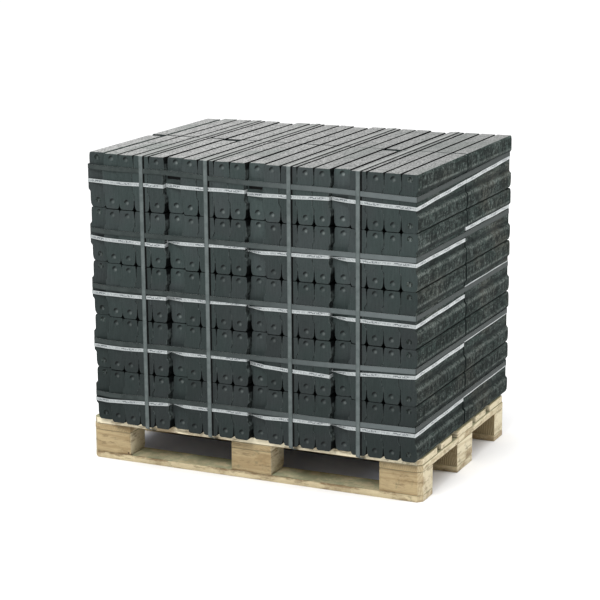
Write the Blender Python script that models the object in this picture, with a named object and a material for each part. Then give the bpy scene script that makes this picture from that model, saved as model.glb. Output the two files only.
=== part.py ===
# Loaded pallet of banded fuel briquettes: a four-way 1200 x 800 mm timber pallet that carries
# five layers of bundles, four across and two deep, held by layer straps, bundle tapes and four
# upright straps. Metres, +Z up, origin on the floor under the middle of the pallet. +X runs along
# the long side, and -Y is the front.
from math import cos, pi, sin

import bpy
import bmesh
from mathutils import Vector

# Touching pieces keep this clearance
CLEAR = 0.0003

# Pallet timber
PALLET_LENGTH = 1.200
PALLET_DEPTH = 0.800
BOARD = 0.022
BLOCK = 0.078
BLOCK_LENGTH = 0.145
WIDE_BOARD = 0.145
NARROW_BOARD = 0.100
CORNER_CHAMFER = 0.015
DECK_TOP = 3 * BOARD + BLOCK

# Briquettes and bundles
BUNDLES_ACROSS = 4
LAYERS = 5
COLUMNS = 5
LAYER_HEIGHT = 0.183
COLUMN_WIDTH = 0.0571
BUNDLE_PITCH = 0.2925
BUNDLE_GAP = 0.003
LOAD_CENTRE_X = 0.015
LOAD_DEPTH = 0.876
LOAD_LEFT = LOAD_CENTRE_X - BUNDLES_ACROSS * BUNDLE_PITCH / 2
LOAD_RIGHT = LOAD_CENTRE_X + BUNDLES_ACROSS * BUNDLE_PITCH / 2
LOAD_FRONT = -LOAD_DEPTH / 2
LOAD_REAR = LOAD_DEPTH / 2
LOAD_TOP = DECK_TOP + LAYERS * LAYER_HEIGHT

# Each bundle's first column stands back from the other four
FRONT_SET_BACK = 0.032
REAR_SET_BACK = 0.022
GAP_REACH = 0.020
# Holes left on top where a front bundle's first column ends short of the middle line, by bundle
POCKETS = ((0, 0.023), (1, 0.051), (3, 0.049))

# Briquette section, seen from the front: rounded corners, a ridge on the left, a groove on the right
FOOT_ROUND = 0.012
FOOT_STEPS = 2
HEAD_ROUND = 0.005
RIDGE = 0.0065
RIDGE_LOW = 0.050
RIDGE_HIGH = 0.133
RIDGE_SLOPE = 0.009
SLOT = 0.014

# Lines between the briquettes, as far as they are cut into the faces
JOINT = 0.0016
JOINT_DEPTH = 0.004
ROW_GAP = 0.003
ROW_GAP_DEPTH = 0.016

# Layer straps and bundle tapes, measured down from the top of their layer to their middle. The
# straps slant a little: each pair is for the left and the right end, from the bottom layer up
STRAP_DROPS = ((0.081, 0.076), (0.082, 0.074), (0.082, 0.082), (0.077, 0.081), (0.050, 0.077))
STRAP_WIDTH = 0.019
STRAP_THICK = 0.0009
TAPE_DROP = 0.101
TAPE_WIDTH = 0.016
TAPE_THICK = 0.0007

# Upright straps: bundle and column that each one lies on, counted from the left
UPRIGHT_PLACES = ((0, 3), (1, 2), (2, 2), (3, 1))
UPRIGHT_WIDTH = 0.016
UPRIGHT_THICK = 0.0009
UPRIGHT_FOOT = DECK_TOP - 0.002

PINE = (0.60, 0.44, 0.22)
COAL = (0.055, 0.070, 0.072)
GREY_STRAP = (0.16, 0.18, 0.19)
DARK_STRAP = (0.10, 0.115, 0.12)
WHITE_TAPE = (0.60, 0.63, 0.63)


def clear_scene():
    for item in list(bpy.data.objects):
        bpy.data.objects.remove(item, do_unlink=True)


def material(name, colour, roughness):
    made = bpy.data.materials.new(name)
    made.use_nodes = True
    shader = made.node_tree.nodes["Principled BSDF"]
    shader.inputs["Base Color"].default_value = (*colour, 1.0)
    shader.inputs["Roughness"].default_value = roughness
    shader.inputs["Metallic"].default_value = 0.0
    return made


def add_object(name, shape, finish=None, place=(0, 0, 0), parent=None):
    """Turns a bmesh into an object at its place."""
    bmesh.ops.recalc_face_normals(shape, faces=shape.faces)
    mesh = bpy.data.meshes.new(name)
    shape.to_mesh(mesh)
    shape.free()
    made = bpy.data.objects.new(name, mesh)
    bpy.context.scene.collection.objects.link(made)
    made.location = place
    made.parent = parent
    if finish:
        mesh.materials.append(finish)
    return made


# Pallet

def timber(name, size, centre, corners, parent):
    """One sawn piece. corners lists the (x, y) signs of its upright edges that are chamfered."""
    shape = bmesh.new()
    bmesh.ops.create_cube(shape, size=1.0)
    bmesh.ops.scale(shape, vec=size, verts=shape.verts)
    cut = []
    for edge in shape.edges:
        middle = (edge.verts[0].co + edge.verts[1].co) / 2
        if abs(middle.z) < 1e-6 and (middle.x > 0, middle.y > 0) in corners:
            cut.append(edge)
    if cut:
        bmesh.ops.bevel(shape, geom=cut, offset=CORNER_CHAMFER, offset_type="OFFSET", segments=1,
                        profile=0.5, affect="EDGES", material=-1)
    return add_object(name, shape, material(name, PINE, 0.75), centre, parent)


def outer_corners(left, right, front, rear):
    """The upright edges of a piece that lie on the pallet's own corners."""
    sides = [side for side, there in ((False, left), (True, right)) if there]
    ends = [end for end, there in ((False, front), (True, rear)) if there]
    return {(side, end) for side in sides for end in ends}


def bottom_boards(parent):
    height = BOARD - CLEAR
    rows = ((-1, NARROW_BOARD, "front"), (0, WIDE_BOARD, "middle"), (1, NARROW_BOARD, "rear"))
    for row, width, word in rows:
        y = row * (PALLET_DEPTH - width) / 2
        corners = outer_corners(True, True, row < 0, row > 0)
        timber(f"bottom_board_{word}", (PALLET_LENGTH, width, height), (0, y, height / 2), corners,
               parent)


def blocks(parent):
    height = BLOCK - CLEAR
    rows = ((-1, NARROW_BOARD, "front"), (0, WIDE_BOARD, "middle"), (1, NARROW_BOARD, "rear"))
    columns = ((-1, "left"), (0, "centre"), (1, "right"))
    for row, width, word in rows:
        y = row * (PALLET_DEPTH - width) / 2
        for column, side in columns:
            x = column * (PALLET_LENGTH - BLOCK_LENGTH) / 2
            corners = outer_corners(column < 0, column > 0, row < 0, row > 0)
            timber(f"block_{word}_{side}", (BLOCK_LENGTH, width, height),
                   (x, y, BOARD + height / 2), corners, parent)


def stringer_boards(parent):
    height = BOARD - CLEAR
    for column, side in ((-1, "left"), (0, "centre"), (1, "right")):
        x = column * (PALLET_LENGTH - BLOCK_LENGTH) / 2
        corners = outer_corners(column < 0, column > 0, True, True)
        timber(f"stringer_board_{side}", (BLOCK_LENGTH, PALLET_DEPTH, height),
               (x, 0, BOARD + BLOCK + height / 2), corners, parent)


def deck_boards(parent):
    height = BOARD - CLEAR
    widths = (WIDE_BOARD, NARROW_BOARD, WIDE_BOARD, NARROW_BOARD, WIDE_BOARD)
    gap = (PALLET_DEPTH - sum(widths)) / (len(widths) - 1)
    front = -PALLET_DEPTH / 2
    for number, width in enumerate(widths, 1):
        corners = outer_corners(True, True, number == 1, number == len(widths))
        timber(f"deck_board_{number}", (PALLET_LENGTH, width, height),
               (0, front + width / 2, DECK_TOP - BOARD + height / 2), corners, parent)
        front += width + gap


# Briquettes

def bundle_start(bundle):
    return LOAD_LEFT + bundle * BUNDLE_PITCH


def second_column(bundle):
    """Left x of a bundle's second column."""
    return bundle_start(bundle + 1) - BUNDLE_GAP / 2 - (COLUMNS - 1) * COLUMN_WIDTH


def column_spans():
    """Left and right x of every column of briquettes, from the left end of the load."""
    spans = []
    for bundle in range(BUNDLES_ACROSS):
        first = bundle_start(bundle) + BUNDLE_GAP / 2
        spans.append((first, first + COLUMN_WIDTH))
        last = bundle_start(bundle + 1) - BUNDLE_GAP / 2
        for left in range(COLUMNS - 1, 0, -1):
            spans.append((last - left * COLUMN_WIDTH, last - (left - 1) * COLUMN_WIDTH))
    return spans


def side_profile(x, bottom, top):
    """An upright edge of a briquette, bottom to top, which steps left over its middle."""
    return [
        (x, bottom),
        (x, RIDGE_LOW),
        (x - RIDGE, RIDGE_LOW + RIDGE_SLOPE),
        (x - RIDGE, RIDGE_HIGH - RIDGE_SLOPE),
        (x, RIDGE_HIGH),
        (x, top),
    ]


def foot_corner(x, inward):
    """Points of the quarter round at a column's foot, from its upright side at x to its level face."""
    points = []
    for step in range(FOOT_STEPS + 1):
        turn = step / FOOT_STEPS * pi / 2
        points.append((x + inward * FOOT_ROUND * (1 - cos(turn)), FOOT_ROUND * (1 - sin(turn))))
    return points


def layer_section(height):
    """Outline of a whole layer in X and Z: twenty columns with notches at their heads and feet."""
    spans = column_spans()
    outline = []
    for number, (left, right) in enumerate(spans):
        foot_left = foot_corner(left, 1)
        foot_right = foot_corner(right, -1)[::-1]
        if number:
            gap = left - spans[number - 1][1]
            if gap > CLEAR:
                outline += [(left - gap, FOOT_ROUND + SLOT), (left, FOOT_ROUND + SLOT)]
            outline += foot_left
        else:
            outline += foot_left[1:]
        more = number + 1 < len(spans)
        touching = more and spans[number + 1][0] - right <= CLEAR
        outline += foot_right[:-1] if touching or not more else foot_right
    outline += side_profile(spans[-1][1], FOOT_ROUND, height - HEAD_ROUND)
    for number in range(len(spans) - 1, -1, -1):
        left, right = spans[number]
        outline += [(right - HEAD_ROUND, height), (left + HEAD_ROUND, height)]
        if number:
            gap = left - spans[number - 1][1]
            outline.append((left, height - HEAD_ROUND))
            if gap > CLEAR:
                slot = height - HEAD_ROUND - SLOT
                outline += [(left, slot), (left - gap, slot), (left - gap, height - HEAD_ROUND)]
    outline += side_profile(spans[0][0], FOOT_ROUND, height - HEAD_ROUND)[::-1]
    return outline


def extrude_section(shape, outline, front, rear):
    """A solid with this outline in X and Z, from front to rear in Y."""
    corners = [shape.verts.new((x, front, z)) for x, z in outline]
    face = shape.faces.new(corners)
    swept = bmesh.ops.extrude_face_region(shape, geom=[face])["geom"]
    moved = [item for item in swept if isinstance(item, bmesh.types.BMVert)]
    bmesh.ops.translate(shape, vec=(0, rear - front, 0), verts=moved)


def helper(name, shape, parent):
    made = add_object(name, shape, parent=parent)
    made.hide_render = True
    made.display_type = "WIRE"
    return made


def cut_away(target, name, cutter):
    change = target.modifiers.new(name, "BOOLEAN")
    change.operation = "DIFFERENCE"
    change.solver = "EXACT"
    change.object = cutter


def strip_between(left_x, right_x, height):
    """The outline in X and Z between two upright edges that step left over their middle."""
    over = 0.01
    left = side_profile(left_x, -over, height + over)
    right = side_profile(right_x, -over, height + over)
    return right + left[::-1]


def recess_cutter(name, height, parent):
    """The spaces in front of and behind each bundle's first column."""
    shape = bmesh.new()
    over = 0.02
    for bundle in range(BUNDLES_ACROSS):
        start = bundle_start(bundle)
        left = start - BUNDLE_GAP / 2 if bundle else start - over
        right = second_column(bundle)
        outline = strip_between(left, right, height)
        extrude_section(shape, outline, LOAD_FRONT - over, LOAD_FRONT + FRONT_SET_BACK)
        extrude_section(shape, outline, LOAD_REAR - REAR_SET_BACK, LOAD_REAR + over)
    return helper(name, shape, parent)


def joint_cutter(name, height, parent):
    """The lines between touching columns, and the gaps beside the first columns."""
    shape = bmesh.new()
    over = 0.02
    spans = column_spans()
    for number in range(1, len(spans)):
        before, after = spans[number - 1][1], spans[number][0]
        if after - before > CLEAR:
            front, rear = FRONT_SET_BACK + GAP_REACH, REAR_SET_BACK + GAP_REACH
        else:
            middle = (before + after) / 2
            before, after = middle - JOINT / 2, middle + JOINT / 2
            front, rear = JOINT_DEPTH, JOINT_DEPTH
        outline = strip_between(before, after, height)
        extrude_section(shape, outline, LOAD_FRONT - over, LOAD_FRONT + front)
        extrude_section(shape, outline, LOAD_REAR - rear, LOAD_REAR + over)
    return helper(name, shape, parent)


def box_into(shape, low, high):
    size = Vector(high) - Vector(low)
    made = bmesh.ops.create_cube(shape, size=1.0)["verts"]
    bmesh.ops.scale(shape, vec=size, verts=made)
    bmesh.ops.translate(shape, vec=(Vector(high) + Vector(low)) / 2, verts=made)


def pocket_cutter(name, height, parent):
    """The holes on top beside the middle line, each as wide as the first column that leaves it."""
    shape = bmesh.new()
    over = 0.02
    for bundle, length in POCKETS:
        left, right = column_spans()[bundle * COLUMNS]
        box_into(shape, (left, -length, -over), (right, 0, height + over))
    return helper(name, shape, parent)


def row_gap_cutter(name, height, top_layer, parent):
    """The line between the front and the rear bundles, cut into both ends and into the top."""
    shape = bmesh.new()
    over = 0.02
    half = ROW_GAP / 2
    inner_left = LOAD_LEFT + ROW_GAP_DEPTH
    inner_right = LOAD_RIGHT - ROW_GAP_DEPTH
    box_into(shape, (LOAD_LEFT - over, -half, -over), (inner_left, half, height + over))
    box_into(shape, (inner_right, -half, -over), (LOAD_RIGHT + over, half, height + over))
    if top_layer:
        inset = 0.001
        box_into(shape, (inner_left + inset, -half, height - ROW_GAP_DEPTH),
                 (inner_right - inset, half, height + over))
    return helper(name, shape, parent)


def briquette_layers(parent):
    height = LAYER_HEIGHT - CLEAR
    for number in range(1, LAYERS + 1):
        name = f"briquette_layer_{number}"
        shape = bmesh.new()
        extrude_section(shape, layer_section(height), LOAD_FRONT, LOAD_REAR)
        z = DECK_TOP + (number - 1) * LAYER_HEIGHT
        layer = add_object(name, shape, material(name, COAL, 0.55), (0, 0, z), parent)
        cut_away(layer, "recesses", recess_cutter(f"{name}_recesses", height, layer))
        cut_away(layer, "joints", joint_cutter(f"{name}_joints", height, layer))
        row_gap = row_gap_cutter(f"{name}_row_gap", height, number == LAYERS, layer)
        cut_away(layer, "row_gap", row_gap)
        if number == LAYERS:
            cut_away(layer, "pockets", pocket_cutter(f"{name}_pockets", height, layer))


# Straps and tapes

def band(name, path, along, width, thick, finish, place, parent):
    """A closed band: a loop of points on its inner face, drawn out to its width, with a thickness."""
    shape = bmesh.new()
    corners = [shape.verts.new(point) for point in path]
    for first, second in zip(corners, corners[1:] + corners[:1]):
        shape.edges.new((first, second))
    swept = bmesh.ops.extrude_edge_only(shape, edges=list(shape.edges))["geom"]
    moved = [item for item in swept if isinstance(item, bmesh.types.BMVert)]
    bmesh.ops.translate(shape, vec=Vector(along) * width, verts=moved)
    bmesh.ops.translate(shape, vec=Vector(along) * -width / 2, verts=shape.verts)
    made = add_object(name, shape, finish, place, parent)
    wall = made.modifiers.new("thickness", "SOLIDIFY")
    wall.thickness = thick
    wall.offset = 1.0
    wall.use_even_offset = True
    return made


def layer_straps(parent):
    """One strap round each whole layer, straight across the set-back columns inside the row."""
    left = LOAD_LEFT + BUNDLE_GAP / 2 - RIDGE - CLEAR
    second = second_column(0) - RIDGE
    right = LOAD_RIGHT - BUNDLE_GAP / 2 - RIDGE + CLEAR
    front, rear = LOAD_FRONT - CLEAR, LOAD_REAR + CLEAR
    loop = [
        (left, front + FRONT_SET_BACK), (second, front), (right, front),
        (right, rear), (second, rear), (left, rear - REAR_SET_BACK),
    ]
    for number, (left_drop, right_drop) in enumerate(STRAP_DROPS, 1):
        slant = (left_drop - right_drop) / (right - left)
        z = DECK_TOP + number * LAYER_HEIGHT - left_drop
        name = f"layer_strap_{number}"
        band(name, [(x, y, (x - left) * slant) for x, y in loop], (0, 0, 1), STRAP_WIDTH,
             STRAP_THICK, material(name, DARK_STRAP, 0.45), (0, 0, z), parent)


def tape_side(face_y, set_back, inward):
    """Points along one long side of the load, left to right: back to each first column and out again."""
    points = []
    for bundle in range(BUNDLES_ACROSS):
        start = bundle_start(bundle)
        first = start + BUNDLE_GAP / 2
        second = second_column(bundle)
        last = start + BUNDLE_PITCH - BUNDLE_GAP / 2
        back = face_y + inward * set_back
        if bundle:
            points.append((first - RIDGE, back))
        else:
            points.append((first - RIDGE - CLEAR, back))
        points += [(second - RIDGE, face_y), (last - RIDGE + CLEAR, face_y)]
    return points


def bundle_tapes(parent):
    """The tapes of a layer's eight bundles, joined where they pass each other between the bundles."""
    front = tape_side(LOAD_FRONT - CLEAR, FRONT_SET_BACK, 1)
    rear = tape_side(LOAD_REAR + CLEAR, REAR_SET_BACK, -1)
    loop = front + rear[::-1]
    for number in range(1, LAYERS + 1):
        z = DECK_TOP + number * LAYER_HEIGHT - TAPE_DROP
        name = f"bundle_tapes_{number}"
        band(name, [(x, y, 0) for x, y in loop], (0, 0, 1), TAPE_WIDTH, TAPE_THICK,
             material(name, WHITE_TAPE, 0.4), (0, 0, z), parent)


def upright_straps(parent):
    """Four straps over the load from front to rear, drawn in under the deck boards."""
    off = 2 * CLEAR + STRAP_THICK
    front, rear = LOAD_FRONT - off, LOAD_REAR + off
    top = LOAD_TOP + CLEAR
    under = DECK_TOP - BOARD - CLEAR
    edge = PALLET_DEPTH / 2 + CLEAR
    loop = [
        (front, UPRIGHT_FOOT), (front, top), (rear, top), (rear, UPRIGHT_FOOT),
        (edge, under), (-edge, under),
    ]
    spans = column_spans()
    for number, (bundle, column) in enumerate(UPRIGHT_PLACES, 1):
        x = sum(spans[bundle * COLUMNS + column]) / 2
        name = f"upright_strap_{number}"
        band(name, [(0, y, z) for y, z in loop], (1, 0, 0), UPRIGHT_WIDTH, UPRIGHT_THICK,
             material(name, GREY_STRAP, 0.45), (x, 0, 0), parent)


def loaded_pallet():
    clear_scene()
    pallet = bpy.data.objects.new("pallet", None)
    load = bpy.data.objects.new("load", None)
    for group in (pallet, load):
        bpy.context.scene.collection.objects.link(group)
    bottom_boards(pallet)
    blocks(pallet)
    stringer_boards(pallet)
    deck_boards(pallet)
    briquette_layers(load)
    layer_straps(load)
    bundle_tapes(load)
    upright_straps(load)


loaded_pallet()
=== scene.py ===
# Looks of a loaded pallet: forty banded bundles of dark pressed fuel briquettes on a timber pallet.
# Metres, +Z up, -Y is the front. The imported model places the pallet's timbers, and the values below
# place the load.
import random
from math import cos, pi, radians, sin

import bpy
import bmesh
import numpy as np
from mathutils import Matrix, Vector


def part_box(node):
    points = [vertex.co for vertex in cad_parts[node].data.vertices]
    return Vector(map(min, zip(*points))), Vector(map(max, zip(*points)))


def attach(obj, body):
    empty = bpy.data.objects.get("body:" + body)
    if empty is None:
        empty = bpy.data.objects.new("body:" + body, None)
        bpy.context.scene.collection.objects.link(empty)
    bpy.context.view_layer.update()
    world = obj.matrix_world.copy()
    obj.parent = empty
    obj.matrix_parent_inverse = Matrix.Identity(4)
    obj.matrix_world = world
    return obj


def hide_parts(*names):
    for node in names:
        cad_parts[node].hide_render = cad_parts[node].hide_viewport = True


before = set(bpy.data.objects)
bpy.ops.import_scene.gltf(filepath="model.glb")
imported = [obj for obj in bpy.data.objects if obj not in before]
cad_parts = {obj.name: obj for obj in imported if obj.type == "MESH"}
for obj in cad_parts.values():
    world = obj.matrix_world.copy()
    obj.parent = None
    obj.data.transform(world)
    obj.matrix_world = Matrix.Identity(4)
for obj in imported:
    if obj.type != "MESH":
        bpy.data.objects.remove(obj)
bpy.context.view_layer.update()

# Load
BUNDLES_ACROSS = 4
LAYERS = 5
COLUMNS = 5
ROWS = 8
LAYER_HEIGHT = 0.183
COLUMN_WIDTH = 0.0571
BUNDLE_PITCH = 0.2925
BUNDLE_GAP = 0.003
LOAD_LEFT = 0.015 - BUNDLES_ACROSS * BUNDLE_PITCH / 2
LOAD_RIGHT = LOAD_LEFT + BUNDLES_ACROSS * BUNDLE_PITCH
LOAD_FRONT, LOAD_REAR = -0.438, 0.438
DECK_TOP = 0.144
ROW_GAP = 0.003
SIDE_SEAM = 0.007
# Room that each front bundle's first column leaves open beside the middle line
POCKETS = (0.020, 0.030, 0.004, 0.026)
# How much wider the gap between the front and rear halves is at each bundle
SEAM_EXTRAS = (0.007, 0.002, 0.0, 0.001)

# How far each bundle's first column stands back, by layer, and the left bundle's second one
FRONT_SET_BACKS = (0.024, 0.022, 0.021, 0.021, 0.018)
REAR_SET_BACK = 0.022
SECOND_SET_BACK = 0.005
# The first column's briquettes spread over the room beside them by this factor
FIRST_WIDER = 1.055

# Briquette
JOINT = 0.0014
PIECE_WIDTH = COLUMN_WIDTH - JOINT
PIECE_HEIGHT = 0.1825
FULL_DEPTH = (LOAD_REAR - ROW_GAP / 2) / ROWS
FOOT_WIDTH = 0.0092
FOOT_HEIGHT = 0.023
HEAD_WIDTH = 0.0044
HEAD_HEIGHT = 0.0130
RIDGE = 0.0065
RIDGE_ENDS = (0.0505, 0.1325)
RIDGE_SLOPE = 0.010
RIM = 0.0008
DIMPLE_RADIUS = 0.0098
DIMPLE_DEPTH = 0.0030
DIMPLE_HEIGHTS = (0.0235, 0.166)
# Where the dimples of each kind of end piece sit off the middle, in X and Z
DIMPLE_SHIFTS = ((0.0, 0.0), (0.0016, -0.0012), (-0.0014, 0.0016), (0.0006, 0.0022))

# The core's distance from the load's left, right, front and rear, and from a layer's foot and tops
CORE_LEFT, CORE_RIGHT, CORE_END, CORE_LIFT = 0.058, 0.057, 0.052, 0.0006
# The top layer's core only closes the middle line: half its depth, and its distance from the tops
SEAM_CORE_HALF, SEAM_CORE_DROP = 0.04, 0.030

# Straps and tapes lie on the load in this order, at these distances from it
TAPE_OFF, TAPE_THICK, TAPE_WIDTH = 0.0003, 0.0005, 0.0118
STRAP_OFF, STRAP_THICK, STRAP_WIDTH = 0.0010, 0.0006, 0.0163
UPRIGHT_OFF, UPRIGHT_THICK, UPRIGHT_WIDTH = 0.0017, 0.0006, 0.0150
UPRIGHT_PLACES = ((0, 3), (1, 2), (2, 2), (3, 1))
# Where the upright straps leave the load, and the depth and height at which they pass the deck's edge
UPRIGHT_FOOT, UPRIGHT_EDGE, UPRIGHT_UNDER = 0.140, 0.4003, 0.1217
# A layer strap's free end: where the lowest one starts, the next one's shift, its fall and thickness
OVERLAP_START, OVERLAP_SHIFT, OVERLAP_FALL, OVERLAP_THICK = 0.09, 0.05, 0.0012, 0.0004

# Height of each layer strap's middle, as the share of the layer's height below its top: at the
# left end, at the three gaps between the bundles and at the right end, bottom layer first
STRAP_DROPS = (
    (0.500, 0.445, 0.430, 0.438, 0.415),
    (0.495, 0.460, 0.455, 0.430, 0.376),
    (0.468, 0.455, 0.460, 0.455, 0.455),
    (0.430, 0.430, 0.440, 0.450, 0.448),
    (0.270, 0.270, 0.345, 0.365, 0.425),
)
# The same at the left and right end of each front bundle tape
FRONT_TAPE_DROPS = (
    ((0.620, 0.520), (0.520, 0.504), (0.540, 0.496), (0.530, 0.515)),
    ((0.590, 0.540), (0.544, 0.510), (0.587, 0.639), (0.560, 0.480)),
    ((0.590, 0.554), (0.550, 0.504), (0.558, 0.526), (0.577, 0.596)),
    ((0.560, 0.590), (0.530, 0.486), (0.556, 0.525), (0.540, 0.540)),
    ((0.520, 0.520), (0.510, 0.505), (0.550, 0.515), (0.515, 0.580)),
)
# Where the tape of the right front bundle reaches the seam on the right side, and where the rear
# bundle's tape runs on from there
SEAM_TAPE_DROPS = ((0.505, 0.450), (0.475, 0.408), (0.575, 0.425), (0.545, 0.350), (0.495, 0.495))
# How much nearer the layer's top the straps and tapes are at the right rear corner
REAR_RISES = (0.0, 0.0, 0.0, 0.0, 0.08)
# Front bundles whose tape starts edge on in the gap, by layer
TWISTED = ((1, 2, 3), (1, 3), (2, 3), (1, 2, 3), ())
TWIST = 1.35

# Pallet
PALLET_ENDS = (0.600, 0.400)
CORNER_CHAMFER = 0.015
WORN_EDGE = 0.0011
WEAR = 0.0005
SLICE = 0.05
# Blocks with an edge left round by the log, and how far it is cut away
WANE = {"block_front_left": 0.016, "block_front_centre": 0.018, "block_middle_right": 0.010}
# How much shorter some boards are at each end
SHORTER = {"deck_board_1": 0.002, "deck_board_2": 0.004, "deck_board_4": 0.003, "deck_board_5": 0.0025}
NAIL_X = -0.583
NAIL_SHARES = (0.2, 0.5, 0.8)


def clamped(value):
    return min(max(value, 0), 1)


# Meshes

def mesh_of(name, shape):
    mesh = bpy.data.meshes.new(name)
    shape.to_mesh(mesh)
    shape.free()
    return mesh


def placed(name, data):
    made = bpy.data.objects.new(name, data)
    bpy.context.scene.collection.objects.link(made)
    return made


def add_piece(name, shape, finish, replaced=None, smooth=50):
    """Turns a bmesh into a piece of the object that rides on the one body."""
    mesh = mesh_of(name, shape)
    mesh.shade_smooth()
    mesh.set_sharp_from_angle(angle=radians(smooth))
    mesh.materials.append(finish)
    piece = placed(name, mesh)
    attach(piece, "root")
    if replaced:
        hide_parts(replaced)
    return piece


def set_attribute(mesh, name, values, kind="FLOAT"):
    made = mesh.attributes.new(name, kind, "POINT")
    made.data.foreach_set("value" if kind == "FLOAT" else "vector", np.asarray(values, "f").ravel())


def faced_out(shape):
    bmesh.ops.recalc_face_normals(shape, faces=shape.faces)
    return shape


def box_shape(low, high):
    shape = bmesh.new()
    bmesh.ops.create_cube(shape, size=1.0)
    bmesh.ops.scale(shape, vec=high - low, verts=shape.verts)
    bmesh.ops.translate(shape, vec=(high + low) / 2, verts=shape.verts)
    return shape


def extruded(points, offset):
    """A flat outline that is drawn out by the offset."""
    shape = bmesh.new()
    face = shape.faces.new([shape.verts.new(point) for point in points])
    swept = bmesh.ops.extrude_face_region(shape, geom=[face])["geom"]
    moved = [item for item in swept if isinstance(item, bmesh.types.BMVert)]
    bmesh.ops.translate(shape, vec=offset, verts=moved)
    return faced_out(shape)


def bevel_edges(shape, edges, offset, segments):
    if edges:
        bmesh.ops.bevel(shape, geom=edges, offset=offset, offset_type="OFFSET",
                        segments=segments, profile=0.5, affect="EDGES", material=-1)


# Load layout

def bundle_start(bundle):
    return LOAD_LEFT + bundle * BUNDLE_PITCH


def column_left(bundle, column):
    """Left x of a column of briquettes. A bundle's first column stands apart from the other four."""
    if column == 0:
        return bundle_start(bundle) + BUNDLE_GAP / 6
    last = bundle_start(bundle + 1) - BUNDLE_GAP / 2
    return last - (COLUMNS - column) * COLUMN_WIDTH


def bundle_sides(bundle):
    """A bundle's left and right x at mid height, where its sides stand to the left."""
    return column_left(bundle, 0) - RIDGE, bundle_start(bundle + 1) - BUNDLE_GAP / 2 - RIDGE


def set_back(layer, bundle, column, half):
    """How far a column's outer end stands back from the load's front or rear."""
    if column == 0:
        return FRONT_SET_BACKS[layer] if half == "front" else REAR_SET_BACK
    if (bundle, column, half) == (0, 1, "front"):
        return SECOND_SET_BACK
    return 0.0


def layer_bottom(layer):
    return DECK_TOP + layer * LAYER_HEIGHT


def drop_height(layer, drop):
    """World height of a place given as a share of a layer's height below its top."""
    return layer_bottom(layer) + (1 - drop) * LAYER_HEIGHT


# Briquettes

def ridge_step(height):
    """How far a briquette's sides stand to the left at a height, with a smooth bend at each end."""
    low, high = RIDGE_ENDS
    share = min(clamped((height - low) / RIDGE_SLOPE), clamped((high - height) / RIDGE_SLOPE))
    return -RIDGE * share * share * (3 - 2 * share)


def corner_points(x, z, width, height, steps):
    """A rounded corner from the upright side at x to the level end at z. A negative width is to the
    left, and a negative height is down."""
    points = []
    for step in range(steps + 1):
        turn = step / steps * pi / 2
        points.append((x + width * (1 - cos(turn)), z + height * (1 - sin(turn))))
    return points


def section():
    """Outline of a briquette in X and Z, seen from the front."""
    low, high = RIDGE_ENDS
    steps = [share * RIDGE_SLOPE for share in (0, 0.35, 0.65, 1)]
    bends = [low + step for step in steps] + [high - step for step in reversed(steps)]
    left_foot = corner_points(0, 0, FOOT_WIDTH, FOOT_HEIGHT, 3)
    right_foot = corner_points(PIECE_WIDTH, 0, -FOOT_WIDTH, FOOT_HEIGHT, 3)
    right_head = corner_points(PIECE_WIDTH, PIECE_HEIGHT, -HEAD_WIDTH, -HEAD_HEIGHT, 2)
    left_head = corner_points(0, PIECE_HEIGHT, HEAD_WIDTH, -HEAD_HEIGHT, 2)
    right_side = [(PIECE_WIDTH + ridge_step(height), height) for height in bends]
    left_side = [(ridge_step(height), height) for height in reversed(bends)]
    return left_foot + right_foot[::-1] + right_side + right_head + left_head[::-1] + left_side


def dimple_cutter(shift):
    """Two shallow round hollows for the front end."""
    shape = bmesh.new()
    radius = (DIMPLE_RADIUS ** 2 + DIMPLE_DEPTH ** 2) / (2 * DIMPLE_DEPTH)
    for height in DIMPLE_HEIGHTS:
        place = Matrix.Translation((PIECE_WIDTH / 2 + ridge_step(height) + shift[0],
                                    DIMPLE_DEPTH - radius, height + shift[1]))
        bmesh.ops.create_uvsphere(shape, u_segments=12, v_segments=16, radius=radius,
                                  matrix=place @ Matrix.Rotation(pi / 2, 4, "X"))
    return shape


def cut_dimples(shape, shift):
    """The shape with the dimples cut into its front end."""
    body = placed("briquette_body", mesh_of("briquette_body", shape))
    cutter = placed("dimples", mesh_of("dimples", dimple_cutter(shift)))
    cut = body.modifiers.new("dimples", "BOOLEAN")
    cut.operation = "DIFFERENCE"
    cut.solver = "EXACT"
    cut.object = cutter
    bpy.context.view_layer.update()
    finished = bpy.data.meshes.new_from_object(
        body.evaluated_get(bpy.context.evaluated_depsgraph_get()))
    for item in (body, cutter):
        bpy.data.objects.remove(item)
    out = bmesh.new()
    out.from_mesh(finished)
    bpy.data.meshes.remove(finished)
    return out


def mark_sides(shape, outer):
    """Gives the sides and the faces that look down their own finish: worn on the load's outside, and
    between neighbours one with painted shade, black at the feet and heads.
    """
    shape.normal_update()
    tilt = 0.20 if outer else 0.55
    for face in shape.faces:
        if abs(face.normal.x) > tilt or face.normal.z < -0.5:
            face.material_index = 2 if outer else 1


def briquette(dimples, outer):
    """One briquette from y = 0 to the full depth. Its front end has a softened rim and dimples where
    dimples says how far they sit off the middle."""
    shape = extruded([(x, 0, z) for x, z in section()], (0, FULL_DEPTH, 0))
    if dimples:
        rim = [edge for edge in shape.edges if all(abs(vert.co.y) < 1e-6 for vert in edge.verts)]
        bevel_edges(shape, rim, RIM, 1)
        shape = cut_dimples(shape, dimples)
    mark_sides(shape, outer)
    return shape


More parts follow.
